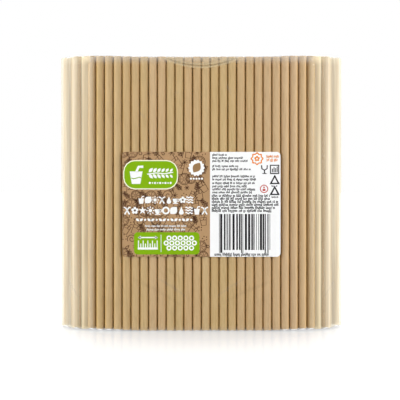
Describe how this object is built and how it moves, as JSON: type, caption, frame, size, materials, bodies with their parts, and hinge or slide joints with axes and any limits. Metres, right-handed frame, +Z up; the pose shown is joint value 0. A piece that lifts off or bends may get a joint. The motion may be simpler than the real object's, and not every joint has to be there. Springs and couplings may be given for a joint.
{
  "type": "film-wrapped pack of paper drinking straws",
  "caption": "Upright bundle of plain brown paper drinking straws held tight in clear film, with a printed paper label on the front; stands on its straw ends.",
  "frame": {"origin": "centre of the bottom face of the overall box, on the surface the pack stands on", "axes": "+X to the right across the width, +Y to the back through the depth, so that the label faces -Y, and +Z up along the straws"},
  "size_m": [0.2124, 0.0523, 0.2019],
  "materials": {
    "straw_paper": "matte",
    "clear_film": "gloss",
    "label_paper": "satin"
  },
  "bodies": {
    "root": {"straw_row_1": "straw_paper", "straw_row_2": "straw_paper", "straw_row_3": "straw_paper", "straw_row_4": "straw_paper", "straw_row_5": "straw_paper", "straw_row_6": "straw_paper", "straw_row_7": "straw_paper", "straw_row_8": "straw_paper", "straw_row_9": "straw_paper", "film_wrap": "clear_film", "label": "label_paper"}
  },
  "joints": []
}
